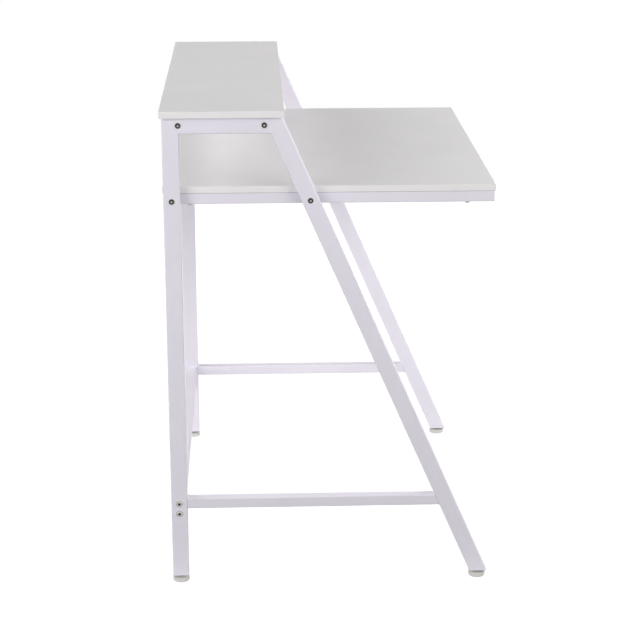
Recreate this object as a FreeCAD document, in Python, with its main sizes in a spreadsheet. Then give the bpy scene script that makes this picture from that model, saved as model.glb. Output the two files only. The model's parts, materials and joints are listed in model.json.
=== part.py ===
import FreeCAD, Part
import math
import os
import re
import Sketcher

# Ladder desk: a worktop and a shelf on two welded side frames, each with an upright rear leg and a
# slanted front leg. X is the width, Y the depth with the front at -Y, and Z is up from the floor.

# Driving dimensions in millimetres
SIZES = {
    # Whole desk
    "frame_width": 772,
    "desk_depth": 598,
    "worktop_height": 759,
    "shelf_rise": 141,
    # Boards and their edge bands
    "board_thickness": 12,
    "edge_band_thickness": 1,
    "edge_band_round": 0.6,
    "worktop_side_clearance": 0.5,
    "worktop_end_setback": 1.5,
    "shelf_side_overhang": 12.5,
    "shelf_depth": 219,
    "shelf_front_overhang": 4,
    "rear_overhang": 4,
    # Tubes of the side frames
    "leg_face": 30,
    "leg_side": 20,
    "tube_wall": 1.2,
    "tube_corner_radius": 2,
    "stretcher_size": 20,
    "stretcher_top": 169,
    # Frame under the worktop
    "apron_size": 20,
    "apron_inset": 1.5,
    "worktop_screw_setback": 48,
    # Cross rails under the shelf and the rear crossbar
    "shelf_rail_depth": 20,
    "shelf_rear_rail_setback": 29,
    "shelf_front_rail_setback": 31,
    "shelf_screw_setback": 95,
    "crossbar_height": 40,
    "crossbar_depth": 20,
    "crossbar_bolt_spacing": 20,
    "end_plate_thickness": 3,
    # Flanged button bolts
    "bolt_diameter": 6,
    "bolt_grip": 15,
    "bolt_flange_diameter": 13.6,
    "bolt_flange_thickness": 1,
    "bolt_head_diameter": 10.5,
    "bolt_head_height": 3.6,
    "bolt_crown_diameter": 7,
    "bolt_crown_round": 1.6,
    "socket_width": 4,
    "socket_depth": 2.2,
    "bolt_hole_clearance": 0.25,
    # Rivet nuts in the worktop frame
    "nut_flange_diameter": 13,
    "nut_body_diameter": 9,
    "nut_bulge_diameter": 12,
    "nut_bulge_thickness": 2.5,
    "nut_length": 12,
    # Truss head screws that hold the boards from below
    "screw_diameter": 4,
    "screw_cover": 2,
    "screw_tip_clearance": 0.5,
    "screw_head_diameter": 10,
    "screw_head_height": 4.2,
    "screw_crown_diameter": 7.6,
    "screw_crown_round": 1.5,
    "screw_hole_clearance": 0.25,
    # Leg plugs and levelling feet
    "plug_collar_diameter": 29,
    "plug_collar_thickness": 1.5,
    "plug_depth": 15,
    "glide_diameter": 31,
    "glide_height": 8,
    "glide_round": 2,
    "glide_top_round": 0.8,
    "glide_gap": 2.5,
    "front_foot_setback": 1.5,
    "stud_diameter": 6,
    "stud_seat_depth": 5,
    "stud_excess": 1,
    "stud_chamfer": 0.8,
    # Radial play of threads and spigots, and the length by which cuts run past what they cut
    "fit_clearance": 0.05,
    "overrun": 1,
}

# Places and shared sizes that follow from the driving dimensions
PLACES = {
    # Heights
    "worktop_underside": "worktop_height - board_thickness",
    "apron_centre": "worktop_underside - apron_size / 2",
    "frame_top": "worktop_height + shelf_rise - board_thickness",
    "top_rail_centre": "frame_top - leg_face / 2",
    "plug_underside": "glide_height + glide_gap",
    "leg_end": "plug_underside + plug_collar_thickness",
    "stretcher_centre": "stretcher_top - stretcher_size / 2",
    "crossbar_centre": "stretcher_top - crossbar_height / 2",
    # Depths
    "rear_leg_back": "desk_depth / 2 - rear_overhang",
    "rear_leg_centre": "rear_leg_back - leg_face / 2",
    "rear_leg_front": "rear_leg_back - leg_face",
    "shelf_front": "desk_depth / 2 - shelf_depth",
    "front_leg_top": "shelf_front + shelf_front_overhang",
    "shelf_rear_rail_centre": "rear_leg_back - shelf_rear_rail_setback",
    "shelf_front_rail_centre": "front_leg_top + shelf_front_rail_setback",
    "front_leg_foot": "-desk_depth / 2",
    "worktop_depth": "desk_depth - 2 * worktop_end_setback",
    "apron_depth": "worktop_depth - 2 * apron_inset",
    # Widths
    "leg_centre": "(frame_width - leg_side) / 2",
    "rail_length": "frame_width - 2 * leg_side",
    "shelf_width": "frame_width + 2 * shelf_side_overhang",
    "worktop_width": "rail_length - 2 * worktop_side_clearance",
    "apron_width": "worktop_width - 2 * apron_inset",
    "nut_flange_thickness": "worktop_side_clearance + apron_inset",
    # Lean of the front legs, along the line of their front face
    "lean_run": "front_leg_top - front_leg_foot",
    "lean_rise": "frame_top - leg_end",
    "front_leg_length": "sqrt(lean_run ^ 2 + lean_rise ^ 2)",
    "lean_sine": "lean_run / front_leg_length",
    "lean_cosine": "lean_rise / front_leg_length",
    "lean_tangent": "lean_run / lean_rise",
    "front_mitre_setback": "leg_face * lean_cosine / (1 + lean_sine)",
    "front_leg_base_depth": "front_leg_foot + leg_face / 2 * lean_cosine",
    "front_leg_base_height": "leg_end - leg_face / 2 * lean_sine",
    "front_bolt_along": "(apron_centre - front_leg_base_height) / lean_cosine",
    "front_bolt_depth": "front_leg_base_depth + front_bolt_along * lean_sine",
    "front_plug_depth": "leg_face / lean_cosine",
    "front_foot_centre": "front_leg_foot + front_plug_depth / 2 + front_foot_setback",
    "stretcher_front": "front_leg_foot + front_plug_depth"
    " + (stretcher_centre - stretcher_size / 2 - leg_end) * lean_tangent",
    # Round corners, limited by the tubes that carry them
    "outer_round": "min(tube_corner_radius; leg_side / 3; stretcher_size / 3; apron_size / 3)",
    "inner_round": "max(outer_round - tube_wall; tube_wall / 4)",
    # Fasteners and their bores
    "bolt_length": "leg_side + bolt_grip",
    "bolt_radius": "bolt_diameter / 2",
    "bolt_hole_radius": "bolt_radius + bolt_hole_clearance",
    "thread_radius": "bolt_radius + fit_clearance",
    "nut_hole_radius": "nut_body_diameter / 2 + fit_clearance",
    "screw_grip": "board_thickness - screw_cover",
    "screw_radius": "screw_diameter / 2",
    "screw_hole_radius": "screw_radius + screw_hole_clearance",
    "pilot_radius": "screw_radius + fit_clearance",
    "pilot_depth": "screw_grip + screw_tip_clearance",
    "stud_length": "stud_seat_depth + glide_gap + plug_collar_thickness + plug_depth + stud_excess",
    "stud_bore_radius": "stud_diameter / 2 + fit_clearance",
}

SIDES = {"left": -1, "right": 1}
SHELF_RAILS = ("shelf_rear_rail_centre", "shelf_front_rail_centre")
ACROSS = FreeCAD.Vector(1, 0, 0)
ALONG = FreeCAD.Vector(0, 1, 0)
UP = FreeCAD.Vector(0, 0, 1)
QUARTER_TURN = 90
UPRIGHT = FreeCAD.Rotation()
TO_FRONT = FreeCAD.Rotation(ACROSS, QUARTER_TURN)
TO_RIGHT = FreeCAD.Rotation(ALONG, QUARTER_TURN)
TO_LEFT = FreeCAD.Rotation(ALONG, -QUARTER_TURN)
HEXAGON_ANGLES = range(0, 360, 60)

doc = FreeCAD.newDocument("LadderDesk")
nodes = []


def fill_sheet():
    """Writes the driving dimensions into the sheet, one named cell each."""
    sheet = doc.addObject("Spreadsheet::Sheet", "Sizes")
    for row, (name, value) in enumerate(SIZES.items(), 1):
        sheet.set(f"A{row}", name)
        sheet.set(f"B{row}", str(value))
        sheet.setAlias(f"B{row}", name)
    doc.recompute()


def fill_places():
    """Binds the places that follow from the sheet."""
    places = doc.addObject("App::VarSet", "Places")
    for name, formula in PLACES.items():
        places.addProperty("App::PropertyFloat", name)
        bind(places, name, formula)
    doc.recompute()


def expression(formula):
    """Turns the names in a formula into references to the sheet and the places."""

    def reference(match):
        word = match.group(0)
        if word in SIZES:
            return "Sizes." + word
        if word in PLACES:
            return "Places." + word
        return word

    return re.sub("[a-z_]+", reference, formula)


def bind(thing, path, formula):
    thing.setExpression(path, expression(formula))


def new_body(label, is_node=True):
    body = doc.addObject("PartDesign::Body", label)
    body.Label = label
    if is_node:
        nodes.append(body)
    return body


def place(thing, x, y, z, rotation=UPRIGHT):
    thing.Placement.Rotation = rotation
    for axis, formula in zip("xyz", (x, y, z)):
        bind(thing, f"Placement.Base.{axis}", formula)


def new_sketch(body, role):
    plane = next(item for item in body.Origin.OriginFeatures if item.Role == role)
    sketch = body.newObject("Sketcher::SketchObject", "Sketch")
    sketch.AttachmentSupport = [(plane, "")]
    sketch.MapMode = "FlatFace"
    return sketch


def fix_point(sketch, geometry, position, x, y):
    """Holds one point of a sketch at two coordinates given as formulas."""
    for kind, formula in (("DistanceX", x), ("DistanceY", y)):
        index = sketch.addConstraint(Sketcher.Constraint(kind, geometry, position, 0))
        bind(sketch, f"Constraints[{index}]", formula)


def polygon(sketch, points):
    """Draws a closed outline through corners given as pairs of formulas, from a unit ring."""
    first = sketch.GeometryCount
    count = len(points)
    turns = [2 * math.pi * corner / count for corner in range(count)]
    ring = [FreeCAD.Vector(math.cos(turn), math.sin(turn), 0) for turn in turns]
    for corner in range(count):
        sketch.addGeometry(Part.LineSegment(ring[corner - 1], ring[corner]))
    for corner in range(count):
        following = (corner + 1) % count
        sketch.addConstraint(Sketcher.Constraint("Coincident", first + corner, 2, first + following, 1))
    for corner, (x, y) in enumerate(points):
        fix_point(sketch, first + corner, 2, x, y)


def rectangle(sketch, width, height):
    """Draws a rectangle centred on the sketch's origin."""
    corners = ((-1, -1), (1, -1), (1, 1), (-1, 1))
    polygon(sketch, [(f"{x} * ({width}) / 2", f"{y} * ({height}) / 2") for x, y in corners])


def circle(sketch, x, y, radius):
    index = sketch.addGeometry(Part.Circle(FreeCAD.Vector(), UP, 1))
    fix_point(sketch, index, 3, x, y)
    size = sketch.addConstraint(Sketcher.Constraint("Radius", index, 1))
    bind(sketch, f"Constraints[{size}]", radius)


def pad(body, sketch, length):
    feature = body.newObject("PartDesign::Pad", "Pad")
    feature.Profile = sketch
    bind(feature, "Length", length)
    body.Tip = feature
    doc.recompute()
    return feature


def pocket(body, sketch, depth=None, sides="Symmetric", backwards=False):
    """Cuts a sketch out of a body, right through unless a depth is given."""
    before = body.Shape.Volume
    feature = body.newObject("PartDesign::Pocket", "Pocket")
    feature.Profile = sketch
    feature.SideType = sides
    feature.Reversed = backwards
    if depth is None:
        feature.Type = "ThroughAll"
    else:
        bind(feature, "Length", depth)
    body.Tip = feature
    doc.recompute()
    if body.Shape.Volume >= before:
        raise ValueError(f"{body.Label}: a pocket cuts nothing")
    return feature


def revolve(body, points):
    """Turns an outline of (radius, height) corners about the body's Z axis."""
    sketch = new_sketch(body, "XZ_Plane")
    polygon(sketch, points)
    feature = body.newObject("PartDesign::Revolution", "Revolution")
    feature.Profile = sketch
    feature.ReferenceAxis = (sketch, ["V_Axis"])
    body.Tip = feature
    doc.recompute()
    return feature


def fillet(body, chosen, radius):
    """Rounds the edges of a body's last feature that the test picks."""
    base = body.Tip
    names = [f"Edge{number}" for number, edge in enumerate(base.Shape.Edges, 1) if chosen(edge)]
    feature = body.newObject("PartDesign::Fillet", "Fillet")
    feature.Base = (base, names)
    bind(feature, "Radius", radius)
    body.Tip = feature
    doc.recompute()
    return feature


def runs_along(edge):
    """True for a straight edge in the direction of the body's Z axis."""
    ends = [vertex.Point for vertex in edge.Vertexes]
    return len(ends) == 2 and ends[0].sub(ends[1]).cross(UP).Length < SIZES["fit_clearance"]


def rim(radius, height):
    """Makes a test for the round edge with this radius at this height."""

    def chosen(edge):
        if not isinstance(edge.Curve, Part.Circle):
            return False
        off_radius = abs(edge.Curve.Radius - radius)
        off_height = abs(edge.Curve.Center.z - height)
        return max(off_radius, off_height) < SIZES["fit_clearance"]

    return chosen


def tube(label, wide, deep, length):
    """A hollow tube along its own Z axis, with round corners outside and in."""
    body = new_body(label)
    section = new_sketch(body, "XY_Plane")
    rectangle(section, wide, deep)
    rectangle(section, f"{wide} - 2 * tube_wall", f"{deep} - 2 * tube_wall")
    solid = pad(body, section, length)
    reach = solid.Shape.BoundBox.XMax - SIZES["tube_wall"] / 2
    fillet(body, lambda edge: runs_along(edge) and abs(edge.CenterOfMass.x) > reach, "outer_round")
    fillet(body, lambda edge: runs_along(edge) and in_bore(edge, solid), "inner_round")
    return body


def in_bore(edge, solid):
    """True for an edge that lies inside the wall of a tube on both sides."""
    inset = SIZES["tube_wall"] / 2
    box = solid.Shape.BoundBox
    middle = edge.CenterOfMass
    return abs(middle.x) < box.XMax - inset and abs(middle.y) < box.YMax - inset


def end_cut(body, role, width, start, setback, full_side, end):
    """Slants one end of a tube: full_side reaches start, and the other side stays back by setback."""
    half = f"(({width}) / 2 + overrun)"
    excess = f"overrun * ({setback}) / ({width})"
    near = f"{start} + {end} * {excess}"
    far = f"{start} - {end} * (({setback}) + {excess})"
    full = f"{full_side} * {half}"
    short = f"{-full_side} * {half}"
    sketch = new_sketch(body, role)
    polygon(sketch, [(full, near), (short, far), (short, near)])
    pocket(body, sketch)


def holes(body, role, places, radius, depth=None, sides="Symmetric", backwards=False):
    """Drills round holes at places given as pairs of formulas."""
    sketch = new_sketch(body, role)
    for x, y in places:
        circle(sketch, x, y, radius)
    pocket(body, sketch, depth, sides, backwards)


def group(label, copies):
    """Puts placed copies of single pieces together, as separate solids of one node."""
    links = []
    for single, x, y, z, rotation in copies:
        link = doc.addObject("App::Link", f"{label}_copy")
        link.LinkedObject = single
        place(link, x, y, z, rotation)
        links.append(link)
    whole = doc.addObject("Part::Compound", label)
    whole.Label = label
    whole.Links = links
    nodes.append(whole)


def rear_leg(side, sign):
    length = "frame_top - leg_end"
    body = tube(f"{side}_rear_leg", "leg_side", "leg_face", length)
    end_cut(body, "YZ_Plane", "leg_face", length, "leg_face", 1, 1)
    low = "crossbar_centre - leg_end"
    heights = (
        "apron_centre - leg_end",
        f"{low} + crossbar_bolt_spacing / 2",
        f"{low} - crossbar_bolt_spacing / 2",
    )
    holes(body, "YZ_Plane", [("0", height) for height in heights], "bolt_hole_radius")
    place(body, f"{sign} * leg_centre", "rear_leg_centre", "leg_end")


def front_leg(side, sign):
    """The slanted leg, cut level at the foot and mitred to the top rail."""
    body = tube(f"{side}_front_leg", "leg_side", "leg_face", "front_leg_length")
    end_cut(body, "YZ_Plane", "leg_face", "front_leg_length", "front_mitre_setback", -1, 1)
    end_cut(body, "YZ_Plane", "leg_face", "0", "leg_face * lean_tangent", -1, -1)
    holes(body, "YZ_Plane", [("0", "front_bolt_along")], "bolt_hole_radius")
    place(body, f"{sign} * leg_centre", "front_leg_base_depth", "front_leg_base_height", TO_FRONT)
    bind(body, "Placement.Rotation.Angle", "-atan(lean_tangent)")


def top_rail(side, sign):
    length = "rear_leg_back - front_leg_top"
    body = tube(f"{side}_top_rail", "leg_side", "leg_face", length)
    end_cut(body, "YZ_Plane", "leg_face", "0", "leg_face", 1, -1)
    end_cut(body, "YZ_Plane", "leg_face", length, "front_mitre_setback", 1, 1)
    bolts = [("0", f"rear_leg_back - {rail}") for rail in SHELF_RAILS]
    holes(body, "YZ_Plane", bolts, "bolt_hole_radius")
    place(body, f"{sign} * leg_centre", "rear_leg_back", "top_rail_centre", TO_FRONT)


def side_stretcher(side, sign):
    length = "rear_leg_front - stretcher_front"
    body = tube(f"{side}_side_stretcher", "stretcher_size", "stretcher_size", length)
    end_cut(body, "YZ_Plane", "stretcher_size", length, "stretcher_size * lean_tangent", -1, 1)
    place(body, f"{sign} * leg_centre", "rear_leg_front", "stretcher_centre", TO_FRONT)


def worktop_side_rail(side, sign):
    """A side of the worktop frame, with holes for its rivet nuts and for the board's screws."""
    body = tube(f"worktop_{side}_rail", "apron_size", "apron_size", "apron_depth")
    end_cut(body, "XZ_Plane", "apron_size", "0", "apron_size", sign, -1)
    end_cut(body, "XZ_Plane", "apron_size", "apron_depth", "apron_size", sign, 1)
    nuts = [("0", f"apron_depth / 2 - {depth}") for depth in ("rear_leg_centre", "front_bolt_depth")]
    holes(body, "YZ_Plane", nuts, "nut_hole_radius", sides="One side", backwards=sign > 0)
    screws = [("0", "worktop_screw_setback"), ("0", "apron_depth - worktop_screw_setback")]
    holes(body, "XZ_Plane", screws, "screw_hole_radius")
    place(body, f"{sign} * (apron_width - apron_size) / 2", "apron_depth / 2", "apron_centre", TO_FRONT)


def worktop_cross_rail(end, sign):
    body = tube(f"worktop_{end}_rail", "apron_size", "apron_size", "apron_width")
    end_cut(body, "YZ_Plane", "apron_size", "0", "apron_size", sign, -1)
    end_cut(body, "YZ_Plane", "apron_size", "apron_width", "apron_size", sign, 1)
    depth = f"{sign} * (apron_depth - apron_size) / 2"
    place(body, "-apron_width / 2", depth, "apron_centre", TO_RIGHT)


def shelf_rail(end):
    body = tube(f"shelf_{end}_rail", "leg_face", "shelf_rail_depth", "rail_length")
    screws = [("0", "shelf_screw_setback"), ("0", "rail_length - shelf_screw_setback")]
    holes(body, "YZ_Plane", screws, "screw_hole_radius")
    place(body, "-rail_length / 2", f"shelf_{end}_rail_centre", "top_rail_centre", TO_RIGHT)


def rear_crossbar():
    body = tube("rear_crossbar", "crossbar_height", "crossbar_depth", "rail_length")
    place(body, "-rail_length / 2", "rear_leg_centre", "crossbar_centre", TO_RIGHT)


def end_plates(label, wide, deep, bolts, places):
    """Threaded plates set flush into both ends of a rail, with a bore for each bolt."""
    body = new_body(f"single_{label}", is_node=False)
    outline = new_sketch(body, "XY_Plane")
    play = "2 * (tube_wall + fit_clearance)"
    rectangle(outline, f"{wide} - {play}", f"{deep} - {play}")
    pad(body, outline, "end_plate_thickness")
    fillet(body, runs_along, "inner_round")
    holes(body, "XY_Plane", bolts, "thread_radius", sides="Symmetric")
    ends = ("-rail_length / 2", "rail_length / 2 - end_plate_thickness")
    group(label, [(body, x, y, z, TO_RIGHT) for x in ends for y, z in places])


def bolt():
    """A flanged button head bolt with a hexagon socket, seated at its own origin, head upwards."""
    body = new_body("single_bolt", is_node=False)
    outline = [
        ("0", "-bolt_length"),
        ("bolt_radius", "-bolt_length"),
        ("bolt_radius", "0"),
        ("bolt_flange_diameter / 2", "0"),
        ("bolt_flange_diameter / 2", "bolt_flange_thickness"),
        ("bolt_head_diameter / 2", "bolt_flange_thickness"),
        ("bolt_crown_diameter / 2", "bolt_head_height"),
        ("0", "bolt_head_height"),
    ]
    revolve(body, outline)
    fillet(body, rim(SIZES["bolt_crown_diameter"] / 2, SIZES["bolt_head_height"]), "bolt_crown_round")
    face = new_sketch(body, "XY_Plane")
    corner = "socket_width / sqrt(3)"
    polygon(face, [(f"{corner} * cos({a} deg)", f"{corner} * sin({a} deg)") for a in HEXAGON_ANGLES])
    bind(face, "AttachmentOffset.Base.z", "bolt_head_height")
    pocket(body, face, "socket_depth", sides="One side")
    return body


def bolt_groups():
    """The bolts of both side frames, at shelf, worktop and crossbar height."""
    low = "crossbar_centre - crossbar_bolt_spacing / 2"
    high = "crossbar_centre + crossbar_bolt_spacing / 2"
    rows = {
        "shelf_bolts": [(rail, "top_rail_centre") for rail in SHELF_RAILS],
        "worktop_bolts": [("rear_leg_centre", "apron_centre"), ("front_bolt_depth", "apron_centre")],
        "crossbar_bolts": [("rear_leg_centre", low), ("rear_leg_centre", high)],
    }
    single = bolt()
    for label, row in rows.items():
        left = [(single, "-frame_width / 2", y, z, TO_LEFT) for y, z in row]
        right = [(single, "frame_width / 2", y, z, TO_RIGHT) for y, z in row]
        group(label, left + right)


def rivet_nuts():
    """Rivet nuts clamped in the outer walls of the worktop frame, their flanges against the legs."""
    body = new_body("single_rivet_nut", is_node=False)
    bulge = "tube_wall + nut_bulge_thickness"
    outline = [
        ("thread_radius", "-nut_flange_thickness"),
        ("nut_flange_diameter / 2", "-nut_flange_thickness"),
        ("nut_flange_diameter / 2", "0"),
        ("nut_body_diameter / 2", "0"),
        ("nut_body_diameter / 2", "tube_wall"),
        ("nut_bulge_diameter / 2", "tube_wall"),
        ("nut_bulge_diameter / 2", bulge),
        ("nut_body_diameter / 2", bulge),
        ("nut_body_diameter / 2", "nut_length"),
        ("thread_radius", "nut_length"),
    ]
    revolve(body, outline)
    depths = ("rear_leg_centre", "front_bolt_depth")
    left = [(body, "-apron_width / 2", depth, "apron_centre", TO_RIGHT) for depth in depths]
    right = [(body, "apron_width / 2", depth, "apron_centre", TO_LEFT) for depth in depths]
    group("worktop_rivet_nuts", left + right)


def screw(name, reach):
    """A truss head screw, seated at its own origin with its head below."""
    body = new_body(name, is_node=False)
    outline = [
        ("0", "-screw_head_height"),
        ("screw_crown_diameter / 2", "-screw_head_height"),
        ("screw_head_diameter / 2", "0"),
        ("screw_radius", "0"),
        ("screw_radius", f"{reach} + screw_grip - screw_radius"),
        ("0", f"{reach} + screw_grip"),
    ]
    revolve(body, outline)
    fillet(body, rim(SIZES["screw_crown_diameter"] / 2, -SIZES["screw_head_height"]), "screw_crown_round")
    return body


def board_screws():
    """The screws up through the worktop frame and through the shelf's cross rails."""
    long = screw("single_worktop_screw", "apron_size")
    seat = "worktop_underside - apron_size"
    widths = ("-(apron_width - apron_size) / 2", "(apron_width - apron_size) / 2")
    depth = "(apron_depth / 2 - worktop_screw_setback)"
    places = [(x, f"{end} * {depth}") for x in widths for end in (-1, 1)]
    group("worktop_screws", [(long, x, y, seat, UPRIGHT) for x, y in places])
    longer = screw("single_shelf_screw", "leg_face")
    seat = "frame_top - leg_face"
    widths = ("shelf_screw_setback - rail_length / 2", "rail_length / 2 - shelf_screw_setback")
    group("shelf_screws", [(longer, x, y, seat, UPRIGHT) for x in widths for y in SHELF_RAILS])


def board(label, width, depth, screws, y, underside):
    """A board's core, with blind pilot holes for its screws in the underside."""
    body = new_body(label)
    outline = new_sketch(body, "XY_Plane")
    rectangle(outline, f"{width} - 2 * edge_band_thickness", f"{depth} - 2 * edge_band_thickness")
    pad(body, outline, "board_thickness")
    holes(body, "XY_Plane", screws, "pilot_radius", "pilot_depth", "One side", backwards=True)
    place(body, "0", y, underside)


def band_strip(name, length):
    """A strip of edge band along its own Z axis, rounded on its outer long edges."""
    body = new_body(name, is_node=False)
    section = new_sketch(body, "XY_Plane")
    rectangle(section, "edge_band_thickness", "board_thickness")
    solid = pad(body, section, length)
    outside = solid.Shape.BoundBox.XMax / 2
    fillet(body, lambda edge: runs_along(edge) and edge.CenterOfMass.x > outside, "edge_band_round")
    return body


def edge_band(label, width, depth, y, underside):
    """Four strips round a board: front and rear full width, left and right between them."""
    long = band_strip(f"single_{label}_long", width)
    short = band_strip(f"single_{label}_short", f"{depth} - 2 * edge_band_thickness")
    side = f"(({width}) - edge_band_thickness) / 2"
    end = f"(({depth}) - edge_band_thickness) / 2"
    span = f"(({depth}) / 2 - edge_band_thickness)"
    strips = (
        (short, side, f"{y} + {span}", 0),
        (short, f"-{side}", f"{y} - {span}", 2 * QUARTER_TURN),
        (long, f"-({width}) / 2", f"{y} + {end}", QUARTER_TURN),
        (long, f"({width}) / 2", f"{y} - {end}", -QUARTER_TURN),
    )
    middle = f"{underside} + board_thickness / 2"
    copies = []
    for single, x, start, turn in strips:
        copies.append((single, x, start, middle, FreeCAD.Rotation(UP, turn).multiply(TO_FRONT)))
    group(label, copies)


def boards():
    side = "(apron_width - apron_size) / 2"
    end = "(apron_depth / 2 - worktop_screw_setback)"
    screws = [(f"{x} * {side}", f"{y} * {end}") for x in (-1, 1) for y in (-1, 1)]
    board("worktop_board", "worktop_width", "worktop_depth", screws, "0", "worktop_underside")
    edge_band("worktop_edge_band", "worktop_width", "worktop_depth", "0", "worktop_underside")
    middle = "(desk_depth - shelf_depth) / 2"
    side = "(rail_length / 2 - shelf_screw_setback)"
    screws = [(f"{x} * {side}", f"{rail} - {middle}") for x in (-1, 1) for rail in SHELF_RAILS]
    board("shelf_board", "shelf_width", "shelf_depth", screws, middle, "frame_top")
    edge_band("shelf_edge_band", "shelf_width", "shelf_depth", middle, "frame_top")


def leg_plug(side, sign, end, centre, depth, setback, is_slanted):
    """A plug that fills the leg's end, with a round collar under the tube and an upright threaded bore."""
    body = new_body(f"{side}_{end}_leg_plug")
    play = "2 * (tube_wall + fit_clearance)"
    outline = new_sketch(body, "XY_Plane")
    bind(outline, "AttachmentOffset.Base.y", f"-({setback})")
    bind(outline, "AttachmentOffset.Base.z", "plug_collar_thickness")
    rectangle(outline, f"leg_side - {play}", f"(leg_face - {play}) * {depth} / leg_face")
    insert = pad(body, outline, "plug_depth")
    if is_slanted:
        insert.UseCustomVector = True
        insert.AlongSketchNormal = True
        for axis, formula in zip("xyz", ("0", "lean_sine", "lean_cosine")):
            bind(insert, f"Direction.{axis}", formula)
        doc.recompute()
    fillet(body, reaches_top(insert), "inner_round")
    collar = new_sketch(body, "XY_Plane")
    circle(collar, "0", "0", "plug_collar_diameter / 2")
    pad(body, collar, "plug_collar_thickness")
    holes(body, "XY_Plane", [("0", "0")], "stud_bore_radius")
    place(body, f"{sign} * leg_centre", centre, "plug_underside")


def reaches_top(solid):
    """Makes a test for the upright or slanted edges that end at the top of a pad."""
    top = solid.Shape.BoundBox.ZMax

    def chosen(edge):
        box = edge.BoundBox
        return box.ZMin < top - SIZES["fit_clearance"] and box.ZMax > top - SIZES["fit_clearance"]

    return chosen


def glide(side, sign, end, centre):
    """A round foot with a soft lower edge and a blind seat for its stud."""
    body = new_body(f"{side}_{end}_glide")
    outline = [
        ("0", "0"),
        ("glide_diameter / 2", "0"),
        ("glide_diameter / 2", "glide_height"),
        ("stud_bore_radius", "glide_height"),
        ("stud_bore_radius", "glide_height - stud_seat_depth"),
        ("0", "glide_height - stud_seat_depth"),
    ]
    revolve(body, outline)
    radius = SIZES["glide_diameter"] / 2
    fillet(body, rim(radius, 0), "glide_round")
    fillet(body, rim(radius, SIZES["glide_height"]), "glide_top_round")
    place(body, f"{sign} * leg_centre", centre, "0")


def stud(side, sign, end, centre):
    body = new_body(f"{side}_{end}_stud")
    outline = [
        ("0", "0"),
        ("stud_diameter / 2", "0"),
        ("stud_diameter / 2", "stud_length - stud_chamfer"),
        ("stud_diameter / 2 - stud_chamfer", "stud_length"),
        ("0", "stud_length"),
    ]
    revolve(body, outline)
    place(body, f"{sign} * leg_centre", centre, "glide_height - stud_seat_depth")


def feet():
    ends = (
        ("rear", "rear_leg_centre", "leg_face", "0", False),
        ("front", "front_foot_centre", "front_plug_depth", "front_foot_setback", True),
    )
    for side, sign in SIDES.items():
        for end, centre, depth, setback, is_slanted in ends:
            leg_plug(side, sign, end, centre, depth, setback, is_slanted)
            glide(side, sign, end, centre)
            stud(side, sign, end, centre)


def side_frames():
    for side, sign in SIDES.items():
        rear_leg(side, sign)
        front_leg(side, sign)
        top_rail(side, sign)
        side_stretcher(side, sign)


def rails():
    for side, sign in SIDES.items():
        worktop_side_rail(side, sign)
    worktop_cross_rail("rear", 1)
    worktop_cross_rail("front", -1)
    shelf_rail("rear")
    shelf_rail("front")
    rear_crossbar()
    places = [(rail, "top_rail_centre") for rail in SHELF_RAILS]
    end_plates("shelf_rail_end_plates", "leg_face", "shelf_rail_depth", [("0", "0")], places)
    bolts = [(f"{share} * crossbar_bolt_spacing", "0") for share in (-0.5, 0.5)]
    places = [("rear_leg_centre", "crossbar_centre")]
    end_plates("crossbar_end_plates", "crossbar_height", "crossbar_depth", bolts, places)


def write_nodes():
    """Stops at any object that failed, then writes each node to its own file."""
    for item in doc.Objects:
        if {"Invalid", "Error"} & set(item.State):
            raise ValueError(f"{item.Label} failed: {item.State}")
    for node in nodes:
        if node.Shape.isNull() or not node.Shape.isValid():
            raise ValueError(f"{node.Label} has no valid shape")
    os.makedirs("parts", exist_ok=True)
    for node in nodes:
        node.Shape.exportStep(f"parts/{node.Label}.step")
        print(node.Label, len(node.Shape.Solids), round(node.Shape.Volume))


fill_sheet()
fill_places()
side_frames()
rails()
boards()
bolt_groups()
rivet_nuts()
board_screws()
feet()
doc.recompute()
write_nodes()
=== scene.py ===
"""Looks of the ladder desk: finishes, small parts, floor, light and camera."""
import json
import math

import bmesh
import bpy
from mathutils import Matrix, Vector


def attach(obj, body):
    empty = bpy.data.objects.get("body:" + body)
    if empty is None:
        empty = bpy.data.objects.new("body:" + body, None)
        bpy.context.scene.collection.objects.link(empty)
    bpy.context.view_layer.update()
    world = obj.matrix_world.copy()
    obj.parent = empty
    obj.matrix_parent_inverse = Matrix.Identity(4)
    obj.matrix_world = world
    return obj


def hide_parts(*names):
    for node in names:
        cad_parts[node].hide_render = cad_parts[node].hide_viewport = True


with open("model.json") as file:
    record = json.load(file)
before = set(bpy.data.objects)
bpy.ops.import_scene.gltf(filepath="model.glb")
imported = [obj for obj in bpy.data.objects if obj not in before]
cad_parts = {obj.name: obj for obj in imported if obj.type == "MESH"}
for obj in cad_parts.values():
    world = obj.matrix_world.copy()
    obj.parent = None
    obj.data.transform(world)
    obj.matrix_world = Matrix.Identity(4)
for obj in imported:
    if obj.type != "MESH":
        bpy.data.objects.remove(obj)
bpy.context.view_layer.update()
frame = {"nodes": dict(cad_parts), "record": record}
nodes = frame["nodes"]
scene = bpy.context.scene
scene.view_settings.view_transform = "Standard"

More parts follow.
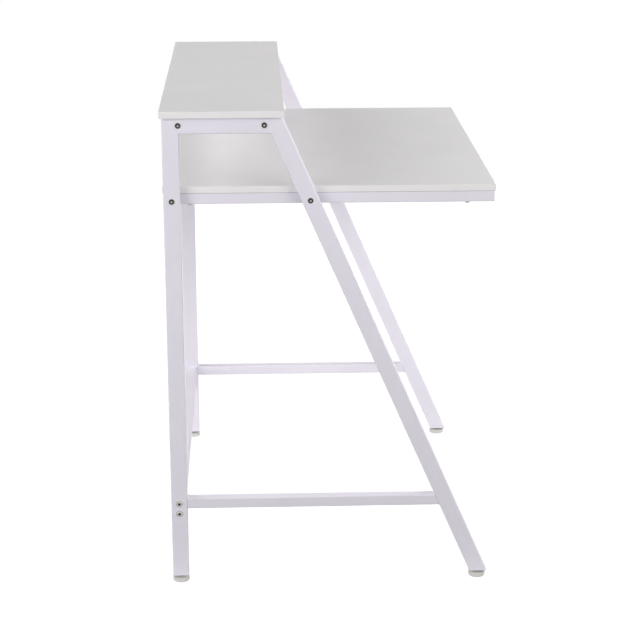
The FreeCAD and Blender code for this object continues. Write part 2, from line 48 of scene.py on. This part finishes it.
# Lamps: name, place, aim, width and height in metres, watts
LAMPS = (
    ("wide_soft", (-7.0, 0.0, 1.0), (0.0, 0.0, 0.6), 8.0, 2.5, 77.0),
    ("rear_low_soft", (-2.4, 2.2, 1.1), (0.0, 0.0, 0.6), 1.8, 1.8, 47.0),
    ("front_low_soft", (-2.6, -1.8, 1.6), (0.0, 0.0, 0.7), 1.6, 1.2, 29.0),
    ("front_high_soft", (-1.8, -2.2, 2.3), (0.0, 0.0, 0.6), 1.6, 1.6, 18.0),
    ("front_mid_soft", (0.4, -2.6, 2.3), (0.0, 0.0, 0.7), 1.8, 1.6, 55.0),
    ("rear_mid_soft", (0.4, 2.6, 2.3), (0.0, 0.0, 0.7), 1.8, 1.6, 29.0),
    ("rear_far_soft", (1.5, 2.6, 1.4), (0.0, 0.0, 0.5), 1.6, 1.8, 25.0),
)
# Light that the white surroundings themselves give off
AMBIENT = 0.02
WHITE = (1.0, 1.0, 1.0, 1.0)

# Floor, in metres: share of light that it throws back in front of the desk and under it, and where it changes
FLOOR_RADIUS = 3.0
BOUNCE = (0.03, 0.8)
BOUNCE_EDGE = (-0.5, -0.3)
# The floor as seen: its grey, and its glow near the desk and away from it; gloss sees less of that glow
FLOOR_GREY = (0.25, 0.25, 0.25, 1.0)
GLOW = (0.86, 1.0)
GLOW_EDGE = (0.7, 1.6)
GLOSS_DIMMING = -0.4

# Camera at the photograph's place, in metres, radians and, for lens and sensor, millimetres
CAMERA_PLACE = (-3.4397, 0.1385, 1.4836)
YAW, PITCH, ROLL = -0.03952, 0.30692, 0.00008
LENS, SENSOR = 99.706, 36.0
FARTHEST = 100.0


# Node helpers
def map_range(tree, value, source, target):
    """A value of the source range, mapped to the target range."""
    node = tree.nodes.new("ShaderNodeMapRange")
    for name, limit in zip(("From Min", "From Max", "To Min", "To Max"), (*source, *target)):
        node.inputs[name].default_value = limit
    tree.links.new(value, node.inputs["Value"])
    return node.outputs["Result"]


def math_node(tree, operation, *values):
    """The result of a math node on numbers and outputs of other nodes."""
    node = tree.nodes.new("ShaderNodeMath")
    node.operation = operation
    for socket, value in zip(node.inputs, values):
        if isinstance(value, float):
            socket.default_value = value
        else:
            tree.links.new(value, socket)
    return node.outputs["Value"]


def mixed(tree, share, first, second):
    """A shader that goes from the first to the second as the share goes from 0 to 1."""
    node = tree.nodes.new("ShaderNodeMixShader")
    for socket, value in zip(node.inputs, (share, first, second)):
        tree.links.new(value, socket)
    return node.outputs["Shader"]


# Finishes
FINISHES = {}
# Range that most of a noise texture's values lie in
NOISE_RANGE = (0.3, 0.7)


def noise(tree, vector, scale, detail):
    node = tree.nodes.new("ShaderNodeTexNoise")
    node.inputs["Scale"].default_value = scale
    node.inputs["Detail"].default_value = detail
    tree.links.new(vector, node.inputs["Vector"])
    return node.outputs["Fac"]


def tint(tree, value, base, mottle):
    """A base colour that a noise value makes darker and lighter by a share."""
    node = tree.nodes.new("ShaderNodeValToRGB")
    for stop, position, share in zip(node.color_ramp.elements, NOISE_RANGE, (1.0 - mottle, 1.0 + mottle)):
        stop.position = position
        stop.color = (*(part * share for part in base), 1.0)
    tree.links.new(value, node.inputs["Fac"])
    return node.outputs["Color"]


def bump(tree, height, strength, distance):
    node = tree.nodes.new("ShaderNodeBump")
    node.inputs["Strength"].default_value = strength
    node.inputs["Distance"].default_value = distance
    tree.links.new(height, node.inputs["Height"])
    return node.outputs["Normal"]


def add_finish(name, base, rough, mottle=0.015, mottle_scale=9.0, grain_scale=700.0, grain=0.1,
               depth=0.0002, metallic=0.0, specular=0.5):
    """A finish with mottled colour, uneven gloss and a fine surface grain."""
    material = bpy.data.materials.new(name)
    material.use_nodes = True
    tree = material.node_tree
    shader = tree.nodes["Principled BSDF"]
    where = tree.nodes.new("ShaderNodeTexCoord").outputs["Object"]
    patches = noise(tree, where, mottle_scale, detail=3.0)
    grains = noise(tree, where, grain_scale, detail=2.0)
    tree.links.new(tint(tree, patches, base, mottle), shader.inputs["Base Color"])
    tree.links.new(map_range(tree, grains, NOISE_RANGE, rough), shader.inputs["Roughness"])
    tree.links.new(bump(tree, grains, grain, depth), shader.inputs["Normal"])
    shader.inputs["Metallic"].default_value = metallic
    shader.inputs["Specular IOR Level"].default_value = specular
    FINISHES[name] = material


add_finish("powder_coat", (0.85, 0.815, 0.895), (0.36, 0.44))
add_finish("melamine_board", (0.825, 0.808, 0.811), (0.4, 0.46), grain_scale=2200.0, grain=0.05)
add_finish("edge_band", (0.897, 0.879, 0.882), (0.45, 0.52), grain_scale=1500.0, grain=0.05, specular=0.4)
add_finish("plated_steel", (0.78, 0.78, 0.77), (0.12, 0.22), metallic=1.0, grain=0.03)
add_finish("black_steel", (0.018, 0.018, 0.02), (0.3, 0.42), grain_scale=900.0, grain=0.06)
add_finish("dull_zinc", (0.62, 0.62, 0.6), (0.24, 0.34), metallic=1.0, grain=0.05)
add_finish("flange_zinc", (0.76, 0.76, 0.76), (0.34, 0.44), metallic=1.0, grain=0.04)
add_finish("bolt_core", (0.52, 0.52, 0.5), (0.34, 0.44), metallic=1.0, grain=0.05)
# Near-black finish for the zinc bolts' socket wall and floor: painted shade in the recess
add_finish("socket_painted_shade", (0.05, 0.05, 0.05), (0.4, 0.5), metallic=1.0, grain=0.05)
add_finish("raw_steel", (0.5, 0.5, 0.5), (0.35, 0.5), metallic=1.0)
add_finish("foot_plastic", (0.702, 0.682, 0.649), (0.42, 0.52), grain_scale=1200.0)
add_finish("plug_plastic", (0.825, 0.814, 0.802), (0.42, 0.52), grain_scale=1200.0)
# Near-black finish of the worktop joint strip: painted shade of the gap under the worktop's edge
add_finish("joint_painted_shade", (0.07, 0.07, 0.07), (0.8, 0.9), grain_scale=2500.0, grain=0.3, specular=0.2)

for row in frame["record"]["subparts"]:
    materials = nodes[row["node"]].data.materials
    materials.clear()
    materials.append(FINISHES[row["material_slot"]])

# Mesh helpers; from here to the weld beads lengths are in millimetres
MILLIMETRES_PER_METRE = 1000.0
# Places closer together than this are one place
SAME_PLACE = 0.5


def box_of(node):
    """Lowest and highest value of a CAD node along each axis."""
    piece = nodes[node]
    points = [piece.matrix_world @ v.co * MILLIMETRES_PER_METRE for v in piece.data.vertices]
    return [(min(p[i] for p in points), max(p[i] for p in points)) for i in range(3)]


def middle(span):
    return sum(span) / 2.0


def centres(span, radius):
    """Where pieces of this radius sit along an axis: one in the middle, or one at each end."""
    low, high = span[0] + radius, span[1] - radius
    if high - low < SAME_PLACE:
        return [middle(span)]
    return [low, high]


def arc(centre, radius, start, end, steps):
    """Points (radius, height) on an arc of a profile, by angles in degrees."""
    angles = [math.radians(start + (end - start) * step / steps) for step in range(steps + 1)]
    return [(centre[0] + radius * math.cos(a), centre[1] + radius * math.sin(a)) for a in angles]


def skin(bm, low, high, finish=0):
    """Faces between two closed rows of vertices; a row may shrink to one vertex."""
    for step, following in enumerate([*range(1, len(low)), 0]):
        corners = []
        for corner in (low[step], low[following], high[following], high[step]):
            if corner not in corners:
                corners.append(corner)
        bm.faces.new(corners).material_index = finish


def lathe(bm, profile, turn, segments=72):
    """Turns rows of (radius, height, finish) about Z; a radius may also follow the angle."""
    rows = []
    for radius, height, _ in profile:
        if radius == 0:
            rows.append([bm.verts.new(turn @ Vector((0.0, 0.0, height)))] * segments)
            continue
        row = []
        for step in range(segments):
            angle = 2.0 * math.pi * step / segments
            reach = radius(angle) if callable(radius) else radius
            point = Vector((reach * math.cos(angle), reach * math.sin(angle), height))
            row.append(bm.verts.new(turn @ point))
        rows.append(row)
    for low, high, (_, _, finish) in zip(rows, rows[1:], profile[1:]):
        skin(bm, low, high, finish)


def mesh_of(name, bm):
    """The mesh of a closed form, with its faces turned outward."""
    bmesh.ops.recalc_face_normals(bm, faces=bm.faces)
    mesh = bpy.data.meshes.new(name)
    bm.to_mesh(mesh)
    bm.free()
    return mesh


def add_piece(name, bm, body, finishes, stands_for=(), crease=35.0):
    """Makes an object of a mesh in millimetres and lets it ride on a body."""
    bmesh.ops.scale(bm, vec=[1.0 / MILLIMETRES_PER_METRE] * 3, verts=bm.verts)
    for face in bm.faces:
        face.smooth = True
    mesh = mesh_of(name, bm)
    mesh.set_sharp_from_angle(angle=math.radians(crease))
    for finish in finishes:
        mesh.materials.append(FINISHES[finish])
    piece = bpy.data.objects.new(name, mesh)
    scene.collection.objects.link(piece)
    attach(piece, body)
    if stands_for:
        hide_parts(*stands_for)


# Bolts: flange, domed head, hexagon socket and shank; sizes across are radii, heights start at the seat
BOLT_HEIGHT, BOLT_LENGTH = 3.6, 35.0
BOLT_SHANK, SHANK_BEVEL = 3.0, 0.6
BOLT_FLANGE, FLANGE_BEVEL, FLANGE_ROUND, FLANGE_RIM = 6.8, 0.2, 0.3, 0.5
# Fillet from flange to head: way out from the head, height and finish
FILLET = ((0.25, 0.92, 0), (0.05, 1.0, 1), (0.0, 1.2, 1))
# Round of the head: its radius, and its centre's way in from the head's side and height
DOME_ROUND, DOME_INSET, DOME_FOOT = 2.25, 2.3, 1.35
SOCKET_LIP, SOCKET_BEVEL, SOCKET_DRAFT = 0.6, 0.28, 0.04
# Pit in the socket's floor: its radius, and its depth at the edge and in the middle
PIT_RADIUS, PIT_EDGE, PIT_MIDDLE = 1.7, 0.04, 0.02
# How far each bolt is turned, in radians per millimetre of its place along Y and Z
BOLT_TURNS = (0.31, 0.17)

# Finishes of flange and shank, head, and socket floor; the wall is finished as one of these
BLACK_BOLT = ("flange_zinc", "black_steel", "bolt_core")
BLACK_SIZES = {"head": 4.8, "socket_width": 3.6, "socket_depth": 0.9, "wall": 1}
# Zinc bolts: socket wall and floor take the near-black finish, painted shade in the recess on top of the
# socket's real depth
ZINC_BOLT = ("dull_zinc", "dull_zinc", "socket_painted_shade")
ZINC_SIZES = {"head": 5.2, "socket_width": 4.8, "socket_depth": 2.2, "wall": 2}


def hexagon(width):
    """Reach of a hexagon of this width across flats, by angle."""
    sixth = math.pi / 3.0
    return lambda angle: width / 2.0 / math.cos(angle % sixth - sixth / 2.0)


def bolt_profile(head, socket_width, socket_depth, wall):
    """Rows of a bolt that is seated at zero."""
    rows = [(0, -BOLT_LENGTH, 0), (BOLT_SHANK - SHANK_BEVEL, -BOLT_LENGTH, 0)]
    rows += [(BOLT_SHANK, SHANK_BEVEL - BOLT_LENGTH, 0), (BOLT_SHANK, 0.0, 0)]
    rows += [(BOLT_FLANGE - FLANGE_BEVEL, 0.0, 0)]
    rim = (BOLT_FLANGE - FLANGE_ROUND, FLANGE_RIM)
    rows += [(r, z, 0) for r, z in arc(rim, FLANGE_ROUND, start=0.0, end=80.0, steps=5)]
    rows += [(head + out, z, finish) for out, z, finish in FILLET]
    dome = (head - DOME_INSET, DOME_FOOT)
    rows += [(r, z, 1) for r, z in arc(dome, DOME_ROUND, start=4.0, end=86.0, steps=12)]
    rows += [(socket_width / 2.0 + SOCKET_LIP, BOLT_HEIGHT, 1)]
    rows += [(hexagon(socket_width), BOLT_HEIGHT - SOCKET_BEVEL, 1)]
    floor = BOLT_HEIGHT - socket_depth
    rows += [(hexagon(socket_width - SOCKET_DRAFT), floor, wall)]
    rows += [(PIT_RADIUS, floor - PIT_EDGE, wall), (0, floor - PIT_MIDDLE, 2)]
    return rows


def add_bolts(node, finishes, sizes):
    """Bolts on both sides of the desk, in place of a CAD node of bolts."""
    box = box_of(node)
    seat = box[0][1] - BOLT_HEIGHT
    profile = bolt_profile(**sizes)
    bm = bmesh.new()
    for sign in (-1.0, 1.0):
        for y in centres(box[1], BOLT_FLANGE):
            for z in centres(box[2], BOLT_FLANGE):
                outward = Matrix.Rotation(sign * math.pi / 2.0, 4, "Y")
                spin = Matrix.Rotation(BOLT_TURNS[0] * y + BOLT_TURNS[1] * z, 4, "Z")
                lathe(bm, profile, Matrix.Translation((sign * seat, y, z)) @ outward @ spin)
    add_piece(node + "_turned", bm, "desk", finishes, (node,))


add_bolts("shelf_bolts", BLACK_BOLT, BLACK_SIZES)
add_bolts("worktop_bolts", BLACK_BOLT, BLACK_SIZES)
add_bolts("crossbar_bolts", ZINC_BOLT, ZINC_SIZES)

# Screws under the boards: pan heads with a cross recess; sizes across are radii, the head lies below zero
SCREW_HEIGHT = 4.2
# Shank: its radius, and the length and the tip of its point
SCREW_SHANK, SCREW_POINT, POINT_TIP = 2.0, 4.0, 0.3
# Head: its radius, the crown's radius and bulge, and the round of its edge with that round's centre
SCREW_HEAD, CROWN, CROWN_BULGE = 5.0, 1.5, 0.04
EDGE_ROUND, EDGE_CENTRE = 2.0, (2.6, 2.1)
# Rim that bears on the board: way in from the head's radius, and height
RIM = ((0.1, -0.5), (0.0, -0.3), (0.0, -0.1), (0.15, 0.0))
# Recess at its mouth and floor: height, half length and half width of an arm
RECESS = ((-SCREW_HEIGHT - 0.5, 2.6, 0.62), (-1.9, 1.5, 0.42))
# How far each screw is turned, in radians per millimetre of its place along X and Y
SCREW_TURNS = (0.23, 0.41)


def screw_blank(length):
    """One screw before its recess is cut."""
    rows = [(0, -SCREW_HEIGHT), (CROWN, CROWN_BULGE - SCREW_HEIGHT)]
    edge = (EDGE_CENTRE[0], EDGE_CENTRE[1] - SCREW_HEIGHT)
    rows += arc(edge, EDGE_ROUND, start=-86.0, end=-6.0, steps=12)
    rows += [(SCREW_HEAD - way_in, z) for way_in, z in RIM]
    rows += [(SCREW_SHANK, 0.0), (SCREW_SHANK, length - SCREW_POINT)]
    rows += [(POINT_TIP, length - POINT_TIP), (0, length)]
    bm = bmesh.new()
    lathe(bm, [(radius, z, 0) for radius, z in rows], Matrix(), segments=48)
    return mesh_of("screw", bm)


def recess_cutter():
    """A tapered cross that reaches below the screw's head."""
    bm = bmesh.new()
    mouth, floor = [], []
    for loop, (height, span, half) in zip((mouth, floor), RECESS):
        for turns in range(4):
            turn = Matrix.Rotation(-turns * math.pi / 2.0, 2)
            for corner in ((half, span), (half, half), (span, half)):
                loop.append(bm.verts.new((*(turn @ Vector(corner)), height)))
    skin(bm, mouth, floor)
    bm.faces.new(mouth)
    bm.faces.new(floor)
    return mesh_of("cross", bm)


def screw_mesh(length):
    """One screw with its recess."""
    blanks = [screw_blank(length), recess_cutter()]
    things = [bpy.data.objects.new(mesh.name, mesh) for mesh in blanks]
    screw, cutter = things
    for thing in things:
        scene.collection.objects.link(thing)
    cut = screw.modifiers.new("recess", "BOOLEAN")
    cut.operation = "DIFFERENCE"
    cut.solver = "EXACT"
    cut.object = cutter
    bpy.context.view_layer.update()
    shape = bpy.data.meshes.new_from_object(screw.evaluated_get(bpy.context.evaluated_depsgraph_get()))
    for thing in things:
        bpy.data.objects.remove(thing)
    for mesh in blanks:
        bpy.data.meshes.remove(mesh)
    return shape


def add_screws(node):
    """Screws at the corners of a CAD node of screws, in its place."""
    box = box_of(node)
    seat = box[2][0] + SCREW_HEIGHT
    shape = screw_mesh(box[2][1] - seat)
    bm = bmesh.new()
    for x in centres(box[0], SCREW_HEAD):
        for y in centres(box[1], SCREW_HEAD):
            before = len(bm.verts)
            bm.from_mesh(shape)
            bm.verts.ensure_lookup_table()
            spin = Matrix.Rotation(SCREW_TURNS[0] * x + SCREW_TURNS[1] * y, 4, "Z")
            turn = Matrix.Translation((x, y, seat)) @ spin
            bmesh.ops.transform(bm, matrix=turn, verts=bm.verts[before:])
    bpy.data.meshes.remove(shape)
    add_piece(node + "_turned", bm, "desk", ("dull_zinc",), (node,))


add_screws("worktop_screws")
add_screws("shelf_screws")

# Threaded studs of the feet: a 6 mm thread of 1 mm pitch, with flats at root and crest as shares of the pitch
FEET = [f"{side}_{end}" for side in ("left", "right") for end in ("rear", "front")]
THREAD_ROOT, THREAD_DEPTH, THREAD_PITCH, THREAD_FLAT = 2.5, 0.5, 1.0, 0.14
# Both ends of the thread start from this radius and widen by this much per millimetre
END_RADIUS, END_WIDENING = 2.2, 0.8
# Height between two rows of the thread's mesh
THREAD_ROW = 0.125


def add_stud(foot):
    """A threaded stud in place of the CAD one."""
    node = foot + "_stud"
    box = box_of(node)
    low, high = box[2]

    def thread_at(height):
        """Radius of the thread at a height, by angle."""
        def reach(angle):
            wave = abs(2.0 * ((height / THREAD_PITCH - angle / (2.0 * math.pi)) % 1.0) - 1.0)
            share = (wave - THREAD_FLAT) / (1.0 - 2.0 * THREAD_FLAT)
            ridge = THREAD_ROOT + THREAD_DEPTH * min(1.0, max(0.0, share))
            return min(ridge, END_RADIUS + END_WIDENING * min(height - low, high - height))

        return reach

    count = round((high - low) / THREAD_ROW)
    heights = [low + (high - low) * step / count for step in range(count + 1)]
    rows = [(0, low, 0), *((thread_at(height), height, 0) for height in heights), (0, high, 0)]
    bm = bmesh.new()
    lathe(bm, rows, Matrix.Translation((middle(box[0]), middle(box[1]), 0.0)), segments=32)
    add_piece(node + "_threaded", bm, foot + "_foot", ("dull_zinc",), (node,), crease=60.0)


for foot in FEET:
    add_stud(foot)

# Side frame: boxes of its tubes, their width as seen from the side, and the front leg's way back per way up
LEG, REAR_LEG = box_of("left_front_leg"), box_of("left_rear_leg")
RAIL, STRETCHER = box_of("left_top_rail"), box_of("left_side_stretcher")
TUBE_FACE = REAR_LEG[1][1] - REAR_LEG[1][0]
LEAN = (RAIL[1][0] - LEG[1][0]) / (RAIL[2][1] - LEG[2][0])
# Width of the front leg along a level line
LEVEL_FACE = TUBE_FACE * math.hypot(1.0, LEAN)

# Leg plugs: an insert set back in the tube's end, with an upright bore
PLUG_SETBACK = 1.0
PLUG_INSET = 1.25
PLUG_BEVEL = 0.5
PLUG_CORNER = 0.8
PLUG_BORE = 3.05
# Ways shorter than this are taken as zero
SHORT = 1e-6


def plate(across, along, corner):
    """Reach of a round-cornered rectangle about the axis, by angle; its sides are given from the axis."""
    def reach(angle):
        dx, dy = math.cos(angle), math.sin(angle)
        x, y = across[dx > 0.0], along[dy > 0.0]
        far = min(side / way for side, way in ((x, dx), (y, dy)) if abs(way) > SHORT)
        inner_x, inner_y = x - math.copysign(corner, dx), y - math.copysign(corner, dy)
        if (far * dx - inner_x) * dx <= 0.0 or (far * dy - inner_y) * dy <= 0.0:
            return far
        nearest = dx * inner_x + dy * inner_y
        return nearest + math.sqrt(max(0.0, nearest ** 2 - inner_x ** 2 - inner_y ** 2 + corner ** 2))

    return reach


def add_plug(foot):
    """An insert in place of the CAD plug; in a front leg it leans with the tube, but its bore is upright."""
    node = foot + "_leg_plug"
    stud, leg = box_of(foot + "_stud"), box_of(foot + "_leg")
    x, y = middle(stud[0]), middle(stud[1])
    end = leg[2][0]
    low, high = end + PLUG_SETBACK, box_of(node)[2][1]
    lean, width = (LEAN, LEVEL_FACE) if "front" in foot else (0.0, TUBE_FACE)

    def outline(inset, height):
        near = leg[1][0] - y + lean * (height - end)
        across = (leg[0][0] - x + inset, leg[0][1] - x - inset)
        return plate(across, (near + inset, near + width - inset), PLUG_CORNER)

    side = low + PLUG_BEVEL
    rows = [(PLUG_BORE, low, 0), (outline(PLUG_INSET + PLUG_BEVEL, low), low, 0)]
    rows += [(outline(PLUG_INSET, side), side, 0), (outline(PLUG_INSET, high), high, 0)]
    rows += [(PLUG_BORE, high, 0), (PLUG_BORE, low, 0)]
    bm = bmesh.new()
    lathe(bm, rows, Matrix.Translation((x, y, 0.0)), segments=144)
    bmesh.ops.remove_doubles(bm, verts=bm.verts, dist=0.001)
    add_piece(node + "_insert", bm, "desk", ("plug_plastic",), (node,))


for foot in FEET:
    add_plug(foot)

# Near-black strip in the joint between the worktop and its frame, painted shade of the gap there: way in from
# the frame's sides, drop from its top
SHADE_STRIP = ((0.35, 0.0), (0.35, 0.55), (0.5, 0.8), (2.6, 0.8), (2.6, 0.0))


def add_shade_strip():
    """A near-black strip in the joint, painted shade that shows as a thin line under the worktop's edge."""
    left, right, near, far = (box_of(f"worktop_{side}_rail") for side in ("left", "right", "front", "rear"))
    top = left[2][1]
    bm = bmesh.new()
    rows = []
    for inset, drop in SHADE_STRIP:
        xs = (left[0][0] + inset, right[0][1] - inset)
        ys = (near[1][0] + inset, far[1][1] - inset)
        corners = ((xs[0], ys[0]), (xs[1], ys[0]), (xs[1], ys[1]), (xs[0], ys[1]))
        rows.append([bm.verts.new((*corner, top - drop)) for corner in corners])
    for row, following in zip(rows, rows[1:] + rows[:1]):
        skin(bm, row, following)
    add_piece("worktop_painted_shade_strip", bm, "desk", ("joint_painted_shade",))


add_shade_strip()

# Weld beads in the side frames' inner corners: reach, length of a rounded end, way in from the tube's side
BEAD_SIZE, BEAD_ENDS, BEAD_INSET = 2.6, 1.8, 1.6
# Mesh of a bead: length of a step along it, and steps across it
BEAD_STEP, BEAD_ACROSS = 0.25, 8
# Section: hollowness, how deep its root and its edges lie in the tubes, and share of the reach at the tips
BEAD_HOLLOW, BEAD_ROOT, BEAD_SINK, BEAD_TIP = 1.25, 0.3, 0.1, 0.25
# Ripples: pitch, bow, share of the reach, and shift from one bead to the next
RIPPLE_PITCH, RIPPLE_BOW, RIPPLE_SHARE, RIPPLE_SHIFT = 1.7, 1.2, 0.05, 1.7


def bead(bm, start, end, first, second, shift):
    """A rippled fillet along a corner, between the directions of two faces that leave it."""
    along = end - start
    steps = round(along.length / BEAD_STEP)
    rows = []
    for step in range(steps + 1):
        share = step / steps
        from_end = min(share, 1.0 - share) * along.length
        swell = math.sqrt(max(0.0, 1.0 - (1.0 - min(1.0, from_end / BEAD_ENDS)) ** 2))
        size = BEAD_SIZE * (BEAD_TIP + (1.0 - BEAD_TIP) * swell)
        spine = start + share * along
        row = [bm.verts.new(spine - BEAD_ROOT * (first + second))]
        for part in range(BEAD_ACROSS + 1):
            t = part / BEAD_ACROSS
            turns = share * along.length / RIPPLE_PITCH + RIPPLE_BOW * (t - 0.5) ** 2
            ripple = math.sin(2.0 * math.pi * turns + shift)
            point = first * (1.0 - t) ** BEAD_HOLLOW + second * t ** BEAD_HOLLOW
            sunk = BEAD_SINK * ((1.0 - t) * second + t * first)
            row.append(bm.verts.new(spine + size * (1.0 + RIPPLE_SHARE * ripple * swell) * point - sunk))
        rows.append(row)
    for low, high in zip(rows, rows[1:]):
        skin(bm, low, high)
    bm.faces.new(rows[0])
    bm.faces.new(rows[-1])


def add_beads():
    """Beads above and below the stretcher ends and under the top rail, on both side frames."""
    back, forth, rise, fall = (Vector(v) for v in ((0, 1, 0), (0, -1, 0), (0, 0, 1), (0, 0, -1)))
    up = Vector((0.0, LEAN, 1.0)).normalized()
    low, high = STRETCHER[2]
    under = RAIL[2][0]
    rear = REAR_LEG[1][0]

    def front(height):
        return LEG[1][0] + LEVEL_FACE + (height - LEG[2][0]) * LEAN

    corners = (
        (rear, high, forth, rise), (rear, low, forth, fall), (rear, under, forth, fall),
        (front(high), high, back, up), (front(low), low, back, -up), (front(under), under, back, -up),
    )
    outer, inner = -LEG[0][0] - BEAD_INSET, -LEG[0][1] + BEAD_INSET
    bm = bmesh.new()
    for sign in (-1.0, 1.0):
        for number, (y, z, first, second) in enumerate(corners):
            start, end = (Vector((sign * x, y, z)) for x in (outer, inner))
            bead(bm, start, end, first, second, RIPPLE_SHIFT * number + sign)
    add_piece("weld_beads", bm, "desk", ("powder_coat",), crease=70.0)


add_beads()


# Floor and surroundings
def seen_share(tree):
    """1 for rays from the camera, from a gloss reflection or through glass, which see the white studio."""
    rays = tree.nodes.new("ShaderNodeLightPath").outputs
    seen = math_node(tree, "MAXIMUM", rays["Is Camera Ray"], rays["Is Glossy Ray"])
    return math_node(tree, "MAXIMUM", seen, rays["Is Transmission Ray"])


def floor_material():
    """Pale as seen, though it throws little light back in front of the desk; clear from below."""
    material = bpy.data.materials.new("floor")
    material.use_nodes = True
    tree = material.node_tree
    tree.nodes.clear()
    where = tree.nodes.new("ShaderNodeTexCoord").outputs["Object"]

    split = tree.nodes.new("ShaderNodeSeparateXYZ")
    tree.links.new(where, split.inputs["Vector"])
    plain = tree.nodes.new("ShaderNodeBsdfDiffuse")
    tree.links.new(map_range(tree, split.outputs["X"], BOUNCE_EDGE, BOUNCE), plain.inputs["Color"])

    grey = tree.nodes.new("ShaderNodeBsdfDiffuse")
    grey.inputs["Color"].default_value = FLOOR_GREY
    away = tree.nodes.new("ShaderNodeVectorMath")
    away.operation = "LENGTH"
    tree.links.new(where, away.inputs[0])
    strength = map_range(tree, away.outputs["Value"], GLOW_EDGE, GLOW)
    gloss = tree.nodes.new("ShaderNodeLightPath").outputs["Is Glossy Ray"]
    glow = tree.nodes.new("ShaderNodeEmission")
    tree.links.new(math_node(tree, "MULTIPLY_ADD", gloss, GLOSS_DIMMING, strength), glow.inputs["Strength"])
    seen = tree.nodes.new("ShaderNodeAddShader")
    tree.links.new(grey.outputs["BSDF"], seen.inputs[0])
    tree.links.new(glow.outputs["Emission"], seen.inputs[1])

    top = mixed(tree, seen_share(tree), plain.outputs["BSDF"], seen.outputs["Shader"])
    below = tree.nodes.new("ShaderNodeNewGeometry").outputs["Backfacing"]
    clear = tree.nodes.new("ShaderNodeBsdfTransparent").outputs["BSDF"]
    out = tree.nodes.new("ShaderNodeOutputMaterial")
    tree.links.new(mixed(tree, below, top, clear), out.inputs["Surface"])
    return material


def make_floor():
    bm = bmesh.new()
    bmesh.ops.create_circle(bm, cap_ends=True, segments=96, radius=FLOOR_RADIUS)
    mesh = bpy.data.meshes.new("floor")
    bm.to_mesh(mesh)
    bm.free()
    mesh.materials.append(floor_material())
    floor = bpy.data.objects.new("floor", mesh)
    scene.collection.objects.link(floor)


def make_world():
    """A studio that looks white, but itself lights the desk only a little."""
    world = bpy.data.worlds.new("studio")
    scene.world = world
    world.use_nodes = True
    tree = world.node_tree
    tree.nodes.clear()
    shaders = []
    for strength in (AMBIENT, 1.0):
        background = tree.nodes.new("ShaderNodeBackground")
        background.inputs["Color"].default_value = WHITE
        background.inputs["Strength"].default_value = strength
        shaders.append(background.outputs["Background"])
    out = tree.nodes.new("ShaderNodeOutputWorld")
    tree.links.new(mixed(tree, seen_share(tree), *shaders), out.inputs["Surface"])


def make_lamp(name, place, aim, width, height, watts):
    """A soft lamp that gloss doesn't mirror: gloss shows the white surroundings."""
    data = bpy.data.lights.new(name, "AREA")
    data.shape = "RECTANGLE"
    data.size = width
    data.size_y = height
    data.energy = watts
    lamp = bpy.data.objects.new(name, data)
    lamp.location = place
    lamp.rotation_euler = (Vector(aim) - Vector(place)).to_track_quat("-Z", "Y").to_euler()
    lamp.visible_glossy = False
    scene.collection.objects.link(lamp)


def make_camera():
    across = math.cos(PITCH)
    forward = Vector((math.cos(YAW) * across, math.sin(YAW) * across, -math.sin(PITCH)))
    level = Vector((math.sin(YAW), -math.cos(YAW), 0.0))
    upright = level.cross(forward)
    right = math.cos(ROLL) * level + math.sin(ROLL) * upright
    up = math.cos(ROLL) * upright - math.sin(ROLL) * level
    data = bpy.data.cameras.new("camera")
    data.sensor_width = SENSOR
    data.lens = LENS
    data.clip_end = FARTHEST
    camera = bpy.data.objects.new("camera", data)
    turn = Matrix((right, up, -forward)).transposed().to_4x4()
    camera.matrix_world = Matrix.Translation(CAMERA_PLACE) @ turn
    scene.collection.objects.link(camera)
    scene.camera = camera


make_floor()
make_world()
for lamp in LAMPS:
    make_lamp(*lamp)
make_camera()
